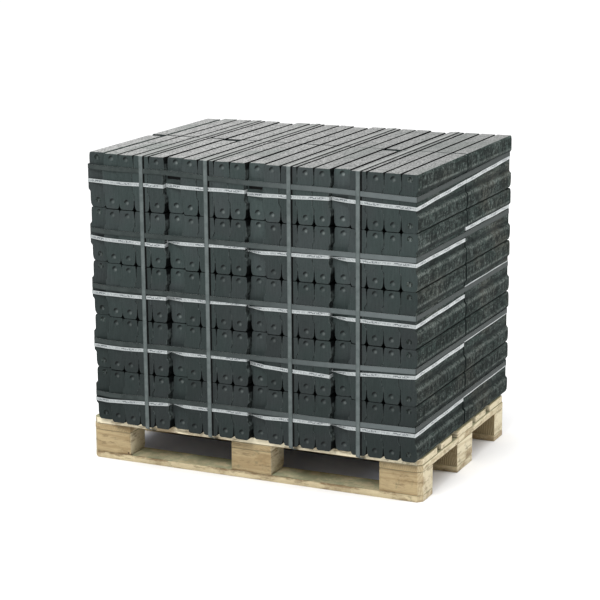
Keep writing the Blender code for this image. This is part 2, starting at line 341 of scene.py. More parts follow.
def briquette_kinds():
    """The few kinds of briquette, for the front half and mirrored for the rear half."""
    wanted = [("corner", DIMPLE_SHIFTS[0], True), ("side", None, True), ("inner", None, False)]
    wanted += [(f"end {number}", shift, False) for number, shift in enumerate(DIMPLE_SHIFTS)]
    kinds = {}
    for half in ("front", "rear"):
        for kind, dimples, outer in wanted:
            shape = briquette(dimples, outer)
            if half == "rear":
                bmesh.ops.scale(shape, vec=(1, -1, 1), verts=shape.verts)
                bmesh.ops.reverse_faces(shape, faces=shape.faces)
            kinds[half, kind] = mesh_of(f"{half} {kind}", shape)
    return kinds


def column_pieces(kinds, layer, bundle, column, half, chance):
    """Meshes, places and tones of one column's briquettes, from the outer end to the seam."""
    outward = -1 if half == "front" else 1
    count = ROWS - 1 if column == 0 else ROWS
    outer = LOAD_REAR - set_back(layer, bundle, column, half)
    pocket = POCKETS[bundle] if column == 0 and half == "front" else 0
    at_right = (bundle, column) == (BUNDLES_ACROSS - 1, COLUMNS - 1)
    at_side = at_right or (bundle, column) == (0, 0)
    inner = (SIDE_SEAM if at_right else ROW_GAP) / 2 + pocket + chance.uniform(0, 0.0025)
    inner += SEAM_EXTRAS[bundle] if half == "front" else 0
    pitch = (outer - inner) / count
    shown = range(count) if at_side or layer == LAYERS - 1 else range(1)
    x = column_left(bundle, column) + JOINT / 2 + chance.uniform(-0.0002, 0.0002)
    z = layer_bottom(layer)
    lean = chance.uniform(-0.0012, 0.0012)
    push = chance.uniform(0, 0.0012)
    worn = chance.uniform(0.0, 0.0015 if at_side else 0.004)
    if layer < LAYERS - 1 and not at_side:
        worn = chance.uniform(0.002, 0.013)
    end = f"end {chance.randrange(len(DIMPLE_SHIFTS))}"
    first, others = ("corner", "side") if at_side else (end, "inner")
    pieces = []
    for row in shown:
        kind = first if row == 0 else others
        back = push if row == 0 else 0
        y = outward * (outer - row * pitch - back)
        fit = (pitch - back - 0.0002) / FULL_DEPTH
        place = (Matrix.Translation((x, y, z + chance.uniform(0, 0.0001)))
                 @ Matrix.Rotation(lean if row == 0 else 0, 4, "Z")
                 @ Matrix.Scale(fit, 4, (0, 1, 0))
                 @ Matrix.Scale(1 - worn - chance.uniform(0, 0.0010), 4, (0, 0, 1))
                 @ Matrix.Scale(FIRST_WIDER if column == 0 else 1, 4, (1, 0, 0)))
        tone = chance.uniform(0, 1) + (1.1 if column == 0 and kind == end else 0)
        pieces.append((kinds[half, kind], place, tone))
    return pieces


def core_box(reach, drop):
    """The hidden middle of a layer, as one plain block between the front and rear briquettes."""
    low = Vector((LOAD_LEFT + CORE_LEFT, LOAD_FRONT + reach, CORE_LIFT))
    high = Vector((LOAD_RIGHT - CORE_RIGHT, LOAD_REAR - reach, PIECE_HEIGHT - drop))
    return mesh_of("core", box_shape(low, high))


def briquette_layers(finishes):
    kinds = briquette_kinds()
    core = core_box(CORE_END, CORE_LIFT)
    seam_core = core_box(LOAD_REAR - SEAM_CORE_HALF, SEAM_CORE_DROP)
    for layer in range(LAYERS):
        chance = random.Random(f"layer {layer}")
        pieces = []
        for bundle in range(BUNDLES_ACROSS):
            for column in range(COLUMNS):
                for half in ("front", "rear"):
                    pieces += column_pieces(kinds, layer, bundle, column, half, chance)
        middle = core if layer < LAYERS - 1 else seam_core
        pieces.append((middle, Matrix.Translation((0, 0, layer_bottom(layer))), 0.3))
        joined_layer(layer, pieces, finishes)


def joined_layer(layer, pieces, finishes):
    """All briquettes of a layer as one mesh, with the tone of each one in an attribute."""
    shape = bmesh.new()
    tones = []
    for mesh, place, tone in pieces:
        before = len(shape.verts)
        shape.from_mesh(mesh)
        bmesh.ops.transform(shape, matrix=place, verts=shape.verts[before:])
        tones += [tone] * (len(shape.verts) - before)
    piece = add_piece(f"briquettes_{layer + 1}", shape, finishes[0],
                      f"briquette_layer_{layer + 1}", smooth=22)
    for finish in finishes[1:]:
        piece.data.materials.append(finish)
    set_attribute(piece.data, "tone", tones)


# Straps and tapes

def rounded_path(points, radius, steps, spacing):
    """A closed path in plan, with a small round bend at each corner, and with extra points so that no
    run between two of them is longer than the spacing."""
    bends = []
    for number, point in enumerate(points):
        here = Vector(point)
        before = Vector(points[number - 1]) - here
        after = Vector(points[(number + 1) % len(points)]) - here
        reach = min(radius, before.length * 0.4, after.length * 0.4)
        start = here + before.normalized() * reach
        end = here + after.normalized() * reach
        for step in range(steps + 1):
            share = step / steps
            bends.append(start.lerp(here, share).lerp(here.lerp(end, share), share))
    path = []
    for start, end in zip(bends, bends[1:] + bends[:1]):
        runs = int((end - start).length / spacing) + 1
        path += [start.lerp(end, step / runs) for step in range(runs)]
    return path


def outward_normals(path, closed=True):
    """The direction away from the load at each point of a path that runs anticlockwise in plan."""
    line = [path[-1], *path, path[0]] if closed else [path[0], *path, path[-1]]
    made = []
    for before, after in zip(line, line[2:]):
        along = (after - before).normalized()
        made.append(Vector((along.y, -along.x)))
    return made


def ribbon_shape():
    shape = bmesh.new()
    shape.verts.layers.float.new("along")
    shape.verts.layers.float.new("across")
    return shape


def sweep(shape, sections, closed=True):
    """A flat band drawn through four-cornered sections: two lower corners, then two upper ones."""
    along = shape.verts.layers.float["along"]
    across = shape.verts.layers.float["across"]
    first = face = shape.faces.new([shape.verts.new(point) for point in sections[0]])
    length = 0.0
    for number, points in enumerate(sections):
        if number:
            swept = bmesh.ops.extrude_face_region(shape, geom=[face])["geom"]
            face = next(item for item in swept if isinstance(item, bmesh.types.BMFace))
            length += (points[0] - sections[number - 1][0]).length
        for vert, point, share in zip(face.verts, points, (0, 0, 1, 1)):
            vert.co = point
            vert[along] = length
            vert[across] = share
    if closed:
        edges = list(first.edges) + list(face.edges)
        bmesh.ops.delete(shape, geom=[first, face], context="FACES_ONLY")
        bmesh.ops.bridge_loops(shape, edges=edges)


def band_sections(path, heights, off, width, thick, twists=None, closed=True):
    """Sections of a band that stands off a path in plan, with its middle at the given heights."""
    sections = []
    for number, (point, out) in enumerate(zip(path, outward_normals(path, closed))):
        turn = twists[number] if twists else 0.0
        out = out.to_3d()
        up = Vector((0, 0, cos(turn))) + out * sin(turn)
        depth = out * cos(turn) - Vector((0, 0, sin(turn)))
        middle = (Vector((point.x, point.y, heights[number])) + out * off
                  + out * abs(sin(turn)) * (width / 2 + 0.001))
        low, high = middle - up * width / 2, middle + up * width / 2
        sections.append((low, low + depth * thick, high + depth * thick, high))
    return sections


def load_outline(layer):
    """Corners in plan of the load at mid height, anticlockwise from the first column's front."""
    left = LOAD_LEFT + BUNDLE_GAP / 2 - RIDGE
    second = column_left(0, 1) - RIDGE
    right = LOAD_RIGHT - BUNDLE_GAP / 2 - RIDGE
    return [(left, LOAD_FRONT + FRONT_SET_BACKS[layer]), (second, LOAD_FRONT + SECOND_SET_BACK),
            (second + COLUMN_WIDTH, LOAD_FRONT), (right, LOAD_FRONT), (right, LOAD_REAR),
            (second, LOAD_REAR), (left, LOAD_REAR - REAR_SET_BACK)]


def strap_height(layer, x, y):
    drops = STRAP_DROPS[layer]
    places = [bundle_start(number) for number in range(BUNDLES_ACROSS + 1)]
    front = np.interp(x, places, drops)
    rear = np.interp(x, (places[0], places[-1]), (drops[0], drops[-1] - REAR_RISES[layer]))
    share = (y - LOAD_FRONT) / (LOAD_REAR - LOAD_FRONT)
    return drop_height(layer, front + (rear - front) * share)


def layer_straps(finish):
    for layer in range(LAYERS):
        shape = ribbon_shape()
        path = rounded_path(load_outline(layer), 0.005, 4, 0.06)
        heights = [strap_height(layer, point.x, point.y) for point in path]
        sweep(shape, band_sections(path, heights, STRAP_OFF, STRAP_WIDTH, STRAP_THICK))
        strap_overlap(shape, layer)
        add_piece(f"woven_strap_{layer + 1}", faced_out(shape), finish,
                  f"layer_strap_{layer + 1}")


def strap_overlap(shape, layer):
    """The free end of a strap, which lies over its start at the rear and is welded to it."""
    start = OVERLAP_START + OVERLAP_SHIFT * layer
    path = [Vector((start - 0.012 * step, LOAD_REAR)) for step in range(7)]
    heights = [strap_height(layer, point.x, point.y) - OVERLAP_FALL for point in path]
    off = STRAP_OFF + STRAP_THICK + 0.00002
    sweep(shape, band_sections(path, heights, off, STRAP_WIDTH, OVERLAP_THICK, closed=False), False)


def tape_outline(layer, bundle, half):
    """Corners in plan of one bundle at mid height, anticlockwise from the first column's outer end
    at the front, and from the left of the middle line at the rear."""
    left, right = bundle_sides(bundle)
    second = column_left(bundle, 1) - RIDGE
    inner = ROW_GAP / 2
    if half == "front":
        return [(left, LOAD_FRONT + FRONT_SET_BACKS[layer]),
                (second, LOAD_FRONT + set_back(layer, bundle, 1, half)),
                (second + COLUMN_WIDTH, LOAD_FRONT), (right, LOAD_FRONT),
                (right, -inner), (left, -inner)]
    return [(left, inner), (right, inner), (right, LOAD_REAR), (second, LOAD_REAR),
            (left, LOAD_REAR - REAR_SET_BACK)]


def tape_drop(layer, bundle, half, x, y):
    """Height of a tape at a place round its bundle, as a share of the layer's height."""
    left, right = bundle_sides(bundle)
    side = (x - left) / (right - left)
    front_left, front_right = FRONT_TAPE_DROPS[layer][bundle]
    before_seam, after_seam = SEAM_TAPE_DROPS[layer]
    if bundle < BUNDLES_ACROSS - 1:
        before_seam, after_seam = front_right, 0.5 + 0.04 * sin(3.1 * layer + 1.7 * bundle)
    if half == "front":
        outer = front_left + (front_right - front_left) * side
        inner = front_left + (before_seam - front_left) * side
        share = (y - LOAD_FRONT) / -LOAD_FRONT
    else:
        inner = after_seam
        outer = after_seam + (0.53 + 0.03 * sin(2.3 * layer + bundle) - after_seam) * (1 - side)
        if bundle == BUNDLES_ACROSS - 1:
            outer -= REAR_RISES[layer] * side
        share = 1 - y / LOAD_REAR
    return outer + (inner - outer) * share


def tape_twist(layer, bundle, half, x, y):
    """How far a tape is turned edge on where it comes out of the gap between two bundles."""
    if half != "front" or bundle not in TWISTED[layer] or y > LOAD_FRONT + FRONT_SET_BACKS[layer]:
        return 0.0
    left, _ = bundle_sides(bundle)
    share = clamped((x - left) / (column_left(bundle, 1) - left))
    return TWIST * (1 - share) ** 1.2


def bundle_tapes(finish):
    for layer in range(LAYERS):
        shape = ribbon_shape()
        chance = random.Random(f"tapes {layer}")
        for bundle in range(BUNDLES_ACROSS):
            for half in ("front", "rear"):
                path = rounded_path(tape_outline(layer, bundle, half), 0.0015, 3, 0.015)
                wave = chance.uniform(0, 6)
                heights = []
                twists = []
                for x, y in path:
                    drop = tape_drop(layer, bundle, half, x, y) + 0.003 * sin(wave + 38 * x + 29 * y)
                    heights.append(drop_height(layer, drop))
                    twists.append(tape_twist(layer, bundle, half, x, y))
                sweep(shape, band_sections(path, heights, TAPE_OFF, TAPE_WIDTH, TAPE_THICK, twists))
        add_piece(f"film_tapes_{layer + 1}", faced_out(shape), finish,
                  f"bundle_tapes_{layer + 1}")


def upright_place(bundle, column):
    return column_left(bundle, column) + COLUMN_WIDTH / 2


def upright_straps(finish):
    """Straps over the whole load, which are drawn in under the deck boards at both sides."""
    side, top = LOAD_REAR + UPRIGHT_OFF, layer_bottom(LAYERS)
    corners = [(-side, UPRIGHT_FOOT), (-side, top), (side, top), (side, UPRIGHT_FOOT),
               (UPRIGHT_EDGE, UPRIGHT_UNDER), (-UPRIGHT_EDGE, UPRIGHT_UNDER)]
    path = rounded_path(corners, 0.004, 4, 0.08)
    half = Vector((UPRIGHT_WIDTH / 2, 0, 0))
    for number, (bundle, column) in enumerate(UPRIGHT_PLACES, 1):
        shape = ribbon_shape()
        sections = []
        for point, away in zip(path, outward_normals(path)):
            middle = Vector((upright_place(bundle, column), point.x, point.y))
            lift = Vector((0, -away.x, -away.y)) * UPRIGHT_THICK
            left, right = middle - half, middle + half
            sections.append((left, left + lift, right + lift, right))
        sweep(shape, sections)
        add_piece(f"tension_strap_{number}", faced_out(shape), finish,
                  f"upright_strap_{number}")


# Timbers

def is_outer_corner(x, y):
    return abs(abs(x) - PALLET_ENDS[0]) < 0.005 and abs(abs(y) - PALLET_ENDS[1]) < 1e-4


def block_shape(node, low, high):
    """A block, with its corner of the pallet cut off and on some an edge left round by the log."""
    shape = box_shape(low, high)
    corners = [edge for edge in shape.edges
               if all(is_outer_corner(vert.co.x, vert.co.y) for vert in edge.verts)]
    bevel_edges(shape, corners, CORNER_CHAMFER, 1)
    if node in WANE:
        rear_foot = [edge for edge in shape.edges
                     if all(vert.co.z < low.z + 1e-4 and vert.co.y > high.y - 1e-4
                            for vert in edge.verts)]
        bevel_edges(shape, rear_foot, WANE[node], 3)
    sharp = [edge for edge in shape.edges
             if len(edge.link_faces) == 2 and edge.calc_face_angle() > radians(35)]
    bevel_edges(shape, sharp, WORN_EDGE, 2)
    return shape


def board_shape(low, high):
    """A board with its corners of the pallet cut off and its long and short edges worn."""
    plan = []
    for x, y in ((low.x, low.y), (high.x, low.y), (high.x, high.y), (low.x, high.y)):
        cut = CORNER_CHAMFER if is_outer_corner(x, y) else WORN_EDGE
        at_left, at_front = x == low.x, y == low.y
        ends = [(x, y + (cut if at_front else -cut), low.z),
                (x + (cut if at_left else -cut), y, low.z)]
        plan += ends if at_left == at_front else ends[::-1]
    shape = extruded(plan, (0, 0, high.z - low.z))
    rims = [edge for edge in shape.edges
            if abs(edge.verts[0].co.z - edge.verts[1].co.z) < 1e-6]
    bevel_edges(shape, rims, WORN_EDGE, 1)
    return shape


def sawn_piece(node, finish):
    low, high = [Vector(corner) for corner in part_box(node)]
    shorter = SHORTER.get(node, 0.0)
    low.x, high.x = low.x + shorter, high.x - shorter
    shape = block_shape(node, low, high) if node.startswith("block") else board_shape(low, high)
    slice_along(shape, low, high)
    roughen(shape, node, low, high)
    piece = add_piece(f"sawn_{node}", faced_out(shape), finish, node, 40)
    chance = random.Random(node)
    shift = [chance.uniform(-3, 3) for _ in range(3)]
    set_attribute(piece.data, "log_place", shift * len(piece.data.vertices), "FLOAT_VECTOR")


def slice_along(shape, low, high):
    """Cuts across the timber, so that its long edges can wander a little."""
    axis = 0 if high.x - low.x >= high.y - low.y else 1
    count = max(2, round((high[axis] - low[axis]) / SLICE))
    for number in range(1, count):
        place = Vector(low)
        place[axis] = low[axis] + (high[axis] - low[axis]) * number / count
        geom = list(shape.verts) + list(shape.edges) + list(shape.faces)
        bmesh.ops.bisect_plane(shape, geom=geom, plane_co=place,
                               plane_no=(1 - axis, axis, 0))


def roughen(shape, node, low, high):
    """Moves the surface inwards here and there by up to half a millimetre, as sawn wood is."""
    chance = random.Random(f"{node} wear")
    middle = (low + high) / 2
    for vert in shape.verts:
        for axis in range(3):
            push = WEAR * chance.random()
            vert.co[axis] += push if middle[axis] > vert.co[axis] else -push


def pallet_timbers(lengthwise, crosswise):
    for node in sorted(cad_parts):
        if node.startswith(("deck_board", "bottom_board", "block_front")):
            sawn_piece(node, lengthwise)
        elif node.startswith(("stringer_board", "block_middle", "block_rear")):
            sawn_piece(node, crosswise)


def nail_head(shape, place, radius, depth):
    bmesh.ops.create_cone(shape, cap_ends=True, segments=10, radius1=radius,
                          radius2=radius - 0.0004, depth=depth, matrix=place)


def nail_heads(finish):
    """Round nail heads on the board ends that the load leaves open, and on one block."""
    shape = bmesh.new()
    for board in (1, 3, 5):
        low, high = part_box(f"deck_board_{board}")
        for share in NAIL_SHARES:
            place = Matrix.Translation((NAIL_X, low.y + (high.y - low.y) * share, high.z - 0.0002))
            nail_head(shape, place, 0.0038, 0.0010)
    low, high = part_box("block_front_left")
    place = (Matrix.Translation((high.x - 0.009, low.y, low.z + 0.007))
             @ Matrix.Rotation(pi / 2, 4, "X"))
    nail_head(shape, place, 0.0034, 0.0012)
    add_piece("nail_heads", faced_out(shape), finish, smooth=40)


# Materials

class Look:
    """A material in the making. Most methods add a node and give its output. A plain tuple is a
    colour."""

    def __init__(self, name):
        self.made = bpy.data.materials.new(name)
        self.made.use_nodes = True
        self.tree = self.made.node_tree
        self.tree.nodes.clear()
        self.shader = self.node("BsdfPrincipled")
        self.node("OutputMaterial", {"Surface": self.shader.outputs["BSDF"]})
        self.place = self.node("TexCoord").outputs["Object"]
        self.x, self.y, self.z = self.parts(self.place)
        normal = self.node("NewGeometry").outputs["Normal"]
        self.side_x, self.side_y, self.up = self.parts(normal)

    def node(self, kind, values=None, **settings):
        made = self.tree.nodes.new(f"ShaderNode{kind}")
        for name, value in settings.items():
            setattr(made, name, value)
        self.fill(made, values or {})
        return made

    def fill(self, node, values):
        """Links an output to each named or numbered input, or sets the input's own value."""
        for name, value in values.items():
            if isinstance(value, bpy.types.NodeSocket):
                self.tree.links.new(value, node.inputs[name])
            elif isinstance(value, tuple):
                node.inputs[name].default_value = (*value, 1.0)
            else:
                node.inputs[name].default_value = value

    def parts(self, vector):
        return self.node("SeparateXYZ", {0: vector}).outputs

    def attribute(self, name, output="Fac"):
        return self.node("Attribute", attribute_name=name).outputs[output]

    def maths(self, operation, *values):
        return self.node("Math", dict(enumerate(values)), operation=operation).outputs[0]

    def times(self, first, *others):
        for other in others:
            first = self.maths("MULTIPLY", first, other)
        return first

    def plus(self, first, *others):
        for other in others:
            first = self.maths("ADD", first, other)
        return first

    def minus(self, first, second):
        return self.maths("SUBTRACT", first, second)

    def ramp(self, value, low, high, to_low=0.0, to_high=1.0):
        """A smooth step from low to high."""
        values = {"Value": value, "From Min": low, "From Max": high, "To Min": to_low, "To Max": to_high}
        return self.node("MapRange", values, interpolation_type="SMOOTHSTEP").outputs["Result"]

    def window(self, value, low, high, soft):
        """One between low and high, and zero outside, with soft ends."""
        return self.times(self.ramp(value, low - soft, low + soft),
                          self.ramp(value, high - soft, high + soft, 1.0, 0.0))

    def front(self, share=1.0):
        """The share on faces that look to the front, and zero elsewhere."""
        return self.ramp(self.side_y, -0.9, -0.6, share, 0.0)

    def blend(self, share, first, second, kind="MIX"):
        values = {"Factor": share, 6: first, 7: second}
        return self.node("Mix", values, data_type="RGBA", blend_type=kind).outputs[2]

    def tint(self, base, hue, value, low, high, share=1.0):
        """The base under a second colour, whose share grows as the value goes from low to high."""
        return self.blend(self.ramp(value, low, high, 0.0, share), base, hue)

    def stretched(self, stretch, place=None):
        made = self.node("Mapping", {"Vector": self.place if place is None else place})
        made.inputs["Scale"].default_value = stretch
        return made.outputs["Vector"]

    def noise(self, scale, detail=3.0, roughness=0.5, stretch=(1, 1, 1), place=None, distortion=0.0):
        values = {"Vector": self.stretched(stretch, place), "Scale": scale, "Detail": detail,
                  "Roughness": roughness, "Distortion": distortion}
        return self.node("TexNoise", values).outputs["Fac"]

    def finish(self, base, worn, roughness, specular, relief, strength, depth):
        """The finished material: the worn noise shifts its roughness, and the relief its height."""
        bump = self.node("Bump", {"Height": relief, "Strength": strength, "Distance": depth})
        self.fill(self.shader, {"Base Color": base, "Roughness": self.ramp(worn, 0.3, 0.7, *roughness),
                                "Specular IOR Level": specular, "Normal": bump.outputs["Normal"]})
        return self.made


def height_in_layer(look):
    return look.maths("MODULO", look.minus(look.z, DECK_TOP), LAYER_HEIGHT)


def shade_and_tone(look, base, low=0.64):
    """Painted shade that darkens towards the load's foot, and a tone a little different for each
    briquette.
    """
    own = look.plus(look.times(look.attribute("tone"), 0.30), 0.85)
    shade = look.times(look.ramp(look.z, 0.15, 0.95, low, 1.0), own)
    return look.blend(1.0, base, shade, "MULTIPLY")


def slate_ends(look):
    """Cut ends: dark slate with fine upright streaks and black specks."""
    patches = look.noise(5.0, stretch=(1, 0.6, 1.3))
    ends = look.tint((0.0270, 0.0375, 0.0362), (0.0310, 0.0378, 0.0382), patches, 0.40, 0.62)
    streaks = look.noise(240.0, 2.0, stretch=(1, 1, 0.10))
    ends = look.tint(ends, (0.051, 0.066, 0.064), streaks, 0.35, 0.75, 0.28)
    specks = look.noise(330.0, 2.0, 0.6)
    return look.tint(ends, (0.007, 0.009, 0.009), specks, 0.58, 0.72, 0.5), streaks


def painted_dimple_light(look, base):
    """Painted highlight in the lower right of the round dimples, and painted shade in their upper left.
    """
    facing = look.maths("ABSOLUTE", look.side_y)
    inside = look.times(look.ramp(facing, 0.78, 0.82), look.ramp(facing, 0.9970, 0.9995, 1.0, 0.0))
    lean = look.minus(look.times(look.up, 0.8), look.times(look.side_x, 0.6))
    cross = look.plus(look.times(look.up, 0.6), look.times(look.side_x, 0.8))
    from_spot = look.minus(lean, 0.20)
    squares = look.plus(look.times(from_spot, from_spot), look.times(cross, cross))
    # Painted highlight on the dimples' lower right walls.
    pale = look.times(look.ramp(look.maths("SQRT", squares), 0.10, 0.42, 1.0, 0.0), inside,
                      look.ramp(look.noise(15.0, 1.0), 0.36, 0.60, 0.45, 1.0))
    # Painted shade on their upper left walls.
    dark = look.times(look.ramp(lean, -0.32, -0.05, 0.95, 0.0), inside)
    base = look.blend(pale, base, (0.098, 0.113, 0.110))
    return look.blend(dark, base, (0.006, 0.008, 0.008))


def top_dust(look):
    """Pale coal dust on the tops, streaked along the briquettes."""
    grain = look.noise(320.0, 4.0, 0.7, (1, 0.30, 1))
    dust = look.tint((0.110, 0.113, 0.110), (0.460, 0.462, 0.455), grain, 0.36, 0.62)
    cast = look.noise(5.0, stretch=(1, 0.5, 1))
    dust = look.tint(dust, (0.165, 0.190, 0.175), cast, 0.50, 0.66, 0.5)
    bare = look.noise(38.0, 4.0, 0.65, (1, 0.4, 1))
    dust = look.tint(dust, (0.110, 0.112, 0.110), bare, 0.56, 0.70, 0.5)
    return look.tint(dust, (0.105, 0.110, 0.108), look.x, -0.55, 0.60, 0.40)


def upright_strap_shadows(look):
    """A painted shadow on the right of each upright strap, and a thin one on its left."""
    lines = []
    for bundle, column in UPRIGHT_PLACES:
        right = upright_place(bundle, column) + UPRIGHT_WIDTH / 2
        left = right - UPRIGHT_WIDTH
        lines += [look.window(look.x, right - 0.002, right + 0.0048, 0.0005),
                  look.window(look.x, left - 0.0012, left + 0.001, 0.0006)]
    return look.maths("MINIMUM", look.plus(*lines), 1.0)


def under_strap_shadows(look):
    """Painted shadow under the top layer's strap, on the middle bundles' columns that stand back behind
    it.
    """
    lines = []
    for bundle in (1, 2):
        left = column_left(bundle, 0)
        edge = strap_height(LAYERS - 1, left + COLUMN_WIDTH / 2, LOAD_FRONT) - STRAP_WIDTH / 2
        lines.append(look.times(look.window(look.x, left, left + COLUMN_WIDTH, 0.002),
                                look.window(look.z, edge - 0.0130, edge + 0.003, 0.0008)))
    return look.times(look.plus(*lines), look.ramp(look.y, -0.41, -0.40, 1.0, 0.0))


def briquette_finish():
    """Pressed coal dust: dark slate ends and dusty grey tops, with painted highlight and shade in the
    dimples and painted shadow beside and under the straps.
    """
    look = Look("pressed_briquette")
    ends, streaks = slate_ends(look)
    ends = shade_and_tone(look, painted_dimple_light(look, ends))
    # Faces that look up are near black below the top layer, as painted shade in the joints between
    # layers, and dusty on the top layer.
    dust = look.tint((0.008, 0.010, 0.010), top_dust(look), look.z, 0.90, 1.00)
    base = look.tint(ends, dust, look.up, 0.90, 0.98)
    # Painted shadows beside the upright straps and under the top strap, blended in near black.
    strap_shade = look.maths("MAXIMUM", upright_strap_shadows(look), under_strap_shadows(look))
    base = look.blend(strap_shade, base, (0.001, 0.001, 0.001))
    worn = look.noise(62.0, 5.0, 0.7)
    relief = look.plus(look.times(worn, 0.20), look.times(streaks, 0.25))
    return look.finish(base, worn, (0.42, 0.62), 0.10, relief, 0.6, 0.0016)


def side_finish():
    """The load's ends: green grey and brown mottling, rows of upright marks, painted shade in bands and
    joints, and painted highlight along the recess's edges.
    """
    look = Look("worn_briquette_side")
    height = height_in_layer(look)
    worn = look.noise(130.0, 5.0, 0.7, (1, 1, 0.7))
    base = look.tint((0.019, 0.027, 0.025), (0.078, 0.095, 0.088), worn, 0.36, 0.66)
    broad = look.noise(7.0, 5.0, 0.6, (1, 0.8, 1.6))
    base = look.tint(base, (0.026, 0.040, 0.036), broad, 0.40, 0.64, 0.75)
    warm = look.noise(5.5, 5.0, 0.6, (1, 0.7, 1))
    brown = look.times(look.ramp(warm, 0.50, 0.68), look.ramp(look.y, -0.2, 0.4, 0.22, 0.45))
    base = look.blend(brown, base, (0.098, 0.086, 0.068))

    lines = look.noise(150.0, 3.0, 0.6, (1, 0.14, 1))
    base = look.tint(base, (0.010, 0.013, 0.012), lines, 0.48, 0.62, 0.7)
    blots = look.noise(19.0, 4.0, 0.65, (1, 0.7, 1.5), distortion=0.6)
    base = look.tint(base, (0.009, 0.013, 0.012), blots, 0.54, 0.66, 0.7)
    chalk = look.noise(125.0, 5.0, 0.75, (1, 0.55, 1))
    base = look.tint(base, (0.140, 0.168, 0.158), chalk, 0.55, 0.66, 0.70)
    teeth = look.noise(88.0, 2.0, 0.6, (1, 1, 0.42))
    rows = look.plus(look.window(height, 0.140, 0.174, 0.006),
                     look.window(height, 0.014, 0.044, 0.007))
    marks = look.times(look.ramp(teeth, 0.49, 0.53), rows)
    base = look.blend(look.times(marks, 0.8), base, (0.011, 0.014, 0.013))
    # Painted shade: dark bands in the recess under its upper edge and near its lower one, and a weaker
    # one in the layer joints.
    foot_shade = look.times(look.window(height, -0.02, 0.003, 0.003), 0.35)
    groove_shade = look.plus(look.window(height, 0.118, 0.134, 0.006),
                        look.window(height, 0.060, 0.074, 0.008), foot_shade)
    base = look.blend(look.times(groove_shade, 0.70), base, (0.011, 0.014, 0.014))
    # Painted highlight: lighter rows along the recess's lower and upper edges, as lit ledges.
    lit_ledges = look.plus(look.window(height, 0.046, 0.056, 0.004),
                       look.window(height, 0.134, 0.140, 0.003))
    pale = look.times(lit_ledges, look.ramp(worn, 0.42, 0.58, 0.0, 0.75))
    base = shade_and_tone(look, look.blend(pale, base, (0.140, 0.160, 0.148)), 0.8)
    return look.finish(base, worn, (0.75, 0.95), 0.06, look.minus(worn, marks), 0.5, 0.0016)


def hidden_shade_finish():
    """The sides of the briquettes that stand against each other, with painted shade that makes them
    black at their feet and heads.
    """
    look = Look("unlit_briquette_side")
    worn = look.noise(60.0, 4.0, 0.6)
    grey = look.tint((0.030, 0.037, 0.036), (0.085, 0.103, 0.100), worn, 0.40, 0.62)
    middle = look.window(height_in_layer(look), 0.034, 0.160, 0.005)
    # Painted shade: near black at the feet and heads, grey in the middle.
    base = look.blend(middle, (0.004, 0.005, 0.005), grey)
    return look.finish(base, worn, (0.75, 0.95), 0.05, worn, 0.4, 0.001)


def from_middle(look, across):
    return look.maths("ABSOLUTE", look.minus(across, 0.5))


def strap_finish(name, dark, light, gloss, painted_sheen, edge):
    """Plastic strap with a fine pressed weave. On the front a painted sheen makes it paler towards the
    right, its faces that look up are lighter as painted light, and its upper or right edge is dark by
    the share edge, as a painted shadow."""
    look = Look(name)
    across = look.attribute("across")
    edges = look.ramp(from_middle(look, across), 0.30, 0.5)
    scuffs = look.noise(38.0, 4.0, 0.6)
    share = look.plus(look.times(scuffs, 0.8), look.times(edges, -0.25))
    base = look.tint(dark, light, share, 0.15, 0.60)
    # Painted sheen: the front is paler towards the right.
    right = look.ramp(look.x, -0.20, 0.55, 0.0, painted_sheen)
    base = look.blend(look.times(look.front(), right), base, (0.230, 0.262, 0.268))
    # Painted light: faces that look up are lighter.
    top = look.blend(scuffs, (0.24, 0.25, 0.24), (0.34, 0.35, 0.34))
    base = look.tint(base, top, look.up, 0.6, 0.9)
    # Painted shadow: the upper or right edge is darker by the share edge.
    base = look.tint(base, (0.005, 0.006, 0.006), across, 0.80, 0.95, edge)
    weave = look.noise(700.0, 1.0)
    return look.finish(base, scuffs, (gloss, gloss + 0.14), 0.14, weave, 0.25, 0.0004)


def tape_finish():
    """White film tape, with soft grey smudges in short rows along it, fine creases, and painted shade
    that greys its front.
    """
    look = Look("white_film_tape")
    across, along = look.attribute("across"), look.attribute("along")
    joined = look.node("CombineXYZ", {"X": look.times(along, 230.0), "Y": look.times(across, 2.2)})
    smudge = look.noise(1.0, 2.0, 0.6, place=joined.outputs["Vector"])
    bursts = look.window(look.maths("MODULO", along, 0.105), 0.015, 0.068, 0.004)
    rows = look.times(look.window(across, 0.22, 0.80, 0.08), look.maths("MAXIMUM", bursts, 0.50))
    marks = look.times(look.ramp(smudge, 0.44, 0.53, 0.0, 0.9), rows)
    creases = look.noise(60.0, stretch=(1, 1, 3))
    soft = look.tint((0.42, 0.45, 0.45), (0.54, 0.57, 0.57), creases, 0.35, 0.65)
    # Painted shade: faces that look to the front are greyer.
    soft = look.blend(look.front(0.55), soft, (0.30, 0.325, 0.325))
    edges = look.ramp(from_middle(look, across), 0.28, 0.48)
    soft = look.blend(look.times(edges, 0.45), soft, (0.26, 0.28, 0.28))
    base = look.blend(marks, soft, (0.07, 0.08, 0.09))
    return look.finish(base, creases, (0.32, 0.48), 0.35, creases, 0.3, 0.0008)


RING_PITCH = 0.0065


def log_rings(look, lengthwise, shift, place, stretch):
    """Growth rings round the log's middle, as lines along the timber and arcs on its end grain."""
    wander = look.noise(9.0, 3.0, 0.55, stretch, place)
    x, y, z = look.parts(look.stretched(stretch))
    shift_x, shift_y, _ = look.parts(shift)
    side = look.plus(y if lengthwise else x, look.times(shift_x, 0.02))
    depth = look.plus(z, 0.05, look.times(shift_y, 0.01))
    squares = look.plus(look.times(side, side), look.times(depth, depth))
    radius = look.plus(look.maths("SQRT", squares), look.times(wander, 0.045))
    return look.maths("SINE", look.times(radius, 2 * pi / RING_PITCH))


